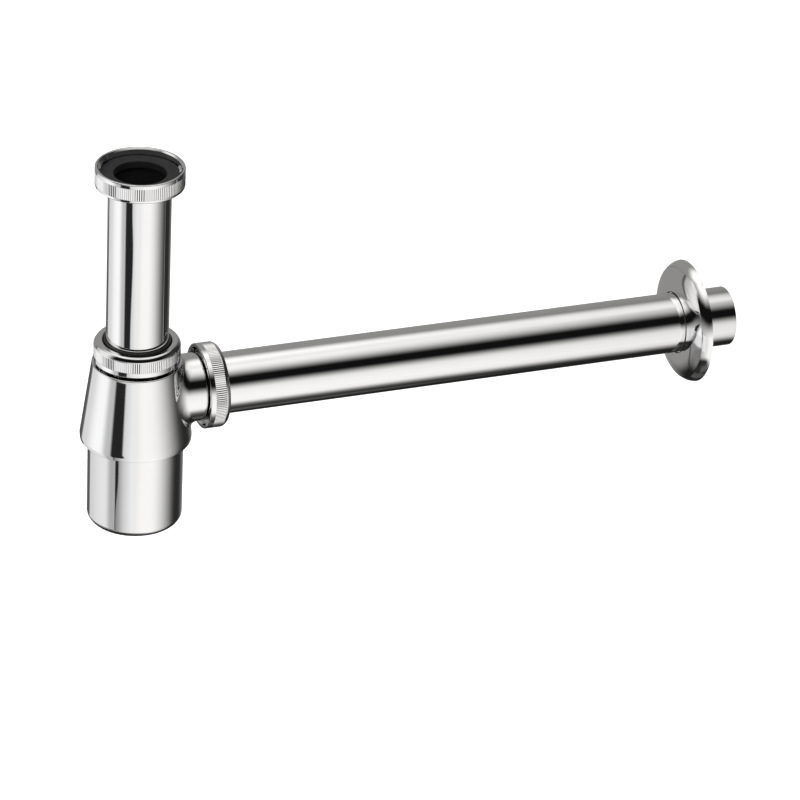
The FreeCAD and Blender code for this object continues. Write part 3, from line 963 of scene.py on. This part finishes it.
class TRAP_OT_stage(bpy.types.Operator):
    """Set the floor, the light tent, the lamps and the camera"""
    bl_idname = "trap.stage"
    bl_label = "Set stage"

    def camera(self, context, stage):
        """Camera at the viewing angle of the picture."""
        place, aim = Vector(stage.camera_place), Vector(stage.camera_aim)
        forward = (aim - place).normalized()
        right = forward.cross(Vector((0, 0, 1))).normalized()
        up = right.cross(forward)
        cos, sin = math.cos(stage.camera_roll), math.sin(stage.camera_roll)
        across, above = cos * right + sin * up, cos * up - sin * right
        data = bpy.data.cameras.new("picture_camera")
        data.sensor_width = 36
        data.lens = stage.lens
        data.clip_end = 50
        camera = add_object(context, "picture_camera", data)
        turn = Matrix((across, above, -forward)).transposed().to_4x4()
        camera.matrix_world = Matrix.Translation(place) @ turn
        context.scene.camera = camera

    def white_floor(self, context, stage):
        """Pale floor that the camera sees as white and that keeps its shadows."""
        size = 4.0
        corners = [(-size, -size, 0), (size, -size, 0), (size, size, 0), (-size, size, 0)]
        data = bpy.data.meshes.new("studio_floor")
        data.from_pydata(corners, [], [(0, 1, 2, 3)])
        data.transform(Matrix.Translation((0, 0, stage.floor_level)))
        paper, tree = new_material("white_paper")
        shader = tree.nodes["Principled BSDF"]
        shader.inputs["Base Color"].default_value = (0.86, 0.86, 0.86, 1)
        shader.inputs["Roughness"].default_value = 0.9
        shader.inputs["Emission Color"].default_value = WHITE
        glow_to_camera = 0.8
        seen = add_node(tree, "ShaderNodeLightPath", output="Is Camera Ray")
        glow = arithmetic(tree, "MULTIPLY", seen, glow_to_camera)
        tree.links.new(glow, shader.inputs["Emission Strength"])
        data.materials.append(paper)
        floor = add_object(context, "studio_floor", data)
        floor.visible_glossy = False

    def light_tent(self, context, stage):
        """Sphere that only reflections see, bright and dark as a studio round the trap would be."""
        rises, turns = np.radians(np.linspace(-90, 90, 181)), np.radians(np.arange(361))
        rise, turn = np.meshgrid(rises, turns, indexing="ij")
        middle = -0.1
        flat = stage.tent_radius * np.cos(rise)
        height = stage.tent_radius * np.sin(rise) + middle
        points = np.stack([flat * np.cos(turn), flat * np.sin(turn), height], axis=-1)
        side = (np.degrees(turn - self.facing(stage)) + 180) % 360 - 180
        glow = tent_glow(side, np.degrees(rise))
        self.glowing_sheet(context, "light_tent", points, glow, (1, 0.99, 0.965, 1))

    def left_panel(self, context, stage):
        """Curved panel on the left of the camera. Its black edge is the dark stripe down the inlet tube."""
        side, height = np.meshgrid(np.linspace(-131, 5, 273), np.linspace(-0.63, -0.22, 83))
        turn = np.radians(side) + self.facing(stage)
        points = np.stack([np.cos(turn), np.sin(turn), height], axis=-1)
        points[..., :2] *= stage.panel_distance
        self.glowing_sheet(context, "left_panel", points, panel_glow(side, height), WHITE)

    def dark_flag(self, context, stage):
        """Dark card behind the trap on the left, edge on to the wall flange.

        It gives the upright forms their dark edges.
        """
        along, height = np.meshgrid(np.linspace(0.4, 0.7, 2), np.linspace(-0.65, -0.22, 2))
        flange = reaches("wall_flange")[1]
        leftward, backward = 0.729, 0.684
        points = np.stack([flange - leftward * along, backward * along, height], axis=-1)
        self.glowing_sheet(context, "dark_flag", points, np.full(along.shape, 0.1), WHITE)

    def facing(self, stage):
        """Turn round Z at which the camera stands."""
        view = Vector(stage.camera_place) - Vector(stage.camera_aim)
        return math.atan2(view.y, view.x)

    def glowing_sheet(self, context, name, points, glow, colour):
        """Sheet over a grid of points that only reflections see, with each point's own brightness."""
        rows, columns = glow.shape
        corner = (np.arange(rows - 1)[:, None] * columns + np.arange(columns - 1)).reshape(-1)
        faces = np.stack([corner, corner + 1, corner + columns + 1, corner + columns], axis=1)
        data = bpy.data.meshes.new(name)
        data.from_pydata(points.reshape(-1, 3).tolist(), [], faces.tolist())
        brightness = data.attributes.new("glow", "FLOAT", "POINT")
        brightness.data.foreach_set("value", glow.reshape(-1).astype(np.float32))
        cloth, tree = new_material(name)
        tree.nodes.remove(tree.nodes["Principled BSDF"])
        read = add_node(tree, "ShaderNodeAttribute", output="Fac", attribute_name="glow")
        light = add_node(tree, "ShaderNodeEmission", {"Color": colour, "Strength": read})
        tree.links.new(light, tree.nodes["Material Output"].inputs["Surface"])
        data.materials.append(cloth)
        card = add_object(context, name, data)
        card.visible_camera = False
        card.visible_diffuse = False
        card.visible_shadow = False
        card.visible_transmission = False

    def lamp(self, context, name, place, aim, size, power):
        """Soft square lamp."""
        data = bpy.data.lights.new(name, "AREA")
        data.size = size
        data.energy = power
        lamp = add_object(context, name, data)
        lamp.location = place
        lamp.rotation_euler = (Vector(aim) - Vector(place)).to_track_quat("-Z", "Y").to_euler()
        lamp.visible_glossy = False

    def sky(self, context):
        """World that is white to the camera and dim to everything else."""
        world = bpy.data.worlds.new("studio_world")
        world.use_nodes = True
        tree = world.node_tree
        sky = tree.nodes["Background"]
        sky.inputs["Color"].default_value = WHITE
        dim = 0.35
        seen = add_node(tree, "ShaderNodeLightPath", output="Is Camera Ray")
        tree.links.new(arithmetic(tree, "MAXIMUM", seen, dim), sky.inputs["Strength"])
        context.scene.world = world

    def execute(self, context):
        stage = context.scene.trap_stage
        self.camera(context, stage)
        self.white_floor(context, stage)
        self.light_tent(context, stage)
        self.left_panel(context, stage)
        self.dark_flag(context, stage)
        self.lamp(context, "overhead_lamp", place=(0.1, -0.4, 1.4), aim=(0.1, 0, -0.1), size=1.6, power=22)
        self.lamp(context, "left_lamp", place=(-1.5, -0.7, 0.5), aim=(0, 0, -0.1), size=1.2, power=10)
        self.sky(context)
        context.scene.view_settings.view_transform = "Standard"
        return {"FINISHED"}


class TRAP_PT_panel(bpy.types.Panel):
    """Sizes, finishes and builders of the bottle trap"""
    bl_idname = "TRAP_PT_panel"
    bl_label = "Bottle trap"
    bl_space_type = "VIEW_3D"
    bl_region_type = "UI"
    bl_category = "Bottle trap"

    def draw(self, context):
        scene = context.scene
        for group in (scene.trap_sizes, scene.trap_finishes, scene.trap_stage):
            column = self.layout.column()
            for name in group.__annotations__:
                column.prop(group, name)
        for operator in OPERATORS:
            self.layout.operator(operator.bl_idname)


OPERATORS = (
    TRAP_OT_tubes, TRAP_OT_nuts, TRAP_OT_body, TRAP_OT_cup, TRAP_OT_flange, TRAP_OT_seals, TRAP_OT_stage)
CLASSES = (TrapSizes, TrapFinishes, TrapStage, *OPERATORS, TRAP_PT_panel)


def register():
    """Register the classes and hang the settings on the scene."""
    for item in CLASSES:
        bpy.utils.register_class(item)
    bpy.types.Scene.trap_sizes = bpy.props.PointerProperty(type=TrapSizes)
    bpy.types.Scene.trap_finishes = bpy.props.PointerProperty(type=TrapFinishes)
    bpy.types.Scene.trap_stage = bpy.props.PointerProperty(type=TrapStage)


def unregister():
    """Take the settings and the classes away again."""
    del bpy.types.Scene.trap_stage
    del bpy.types.Scene.trap_finishes
    del bpy.types.Scene.trap_sizes
    for item in reversed(CLASSES):
        bpy.utils.unregister_class(item)


def main():
    """Build the whole trap and its studio."""
    register()
    bpy.ops.trap.tubes()
    bpy.ops.trap.nuts()
    bpy.ops.trap.body()
    bpy.ops.trap.cup()
    bpy.ops.trap.flange()
    bpy.ops.trap.seals()
    bpy.ops.trap.stage()


if __name__ == "__main__":
    main()
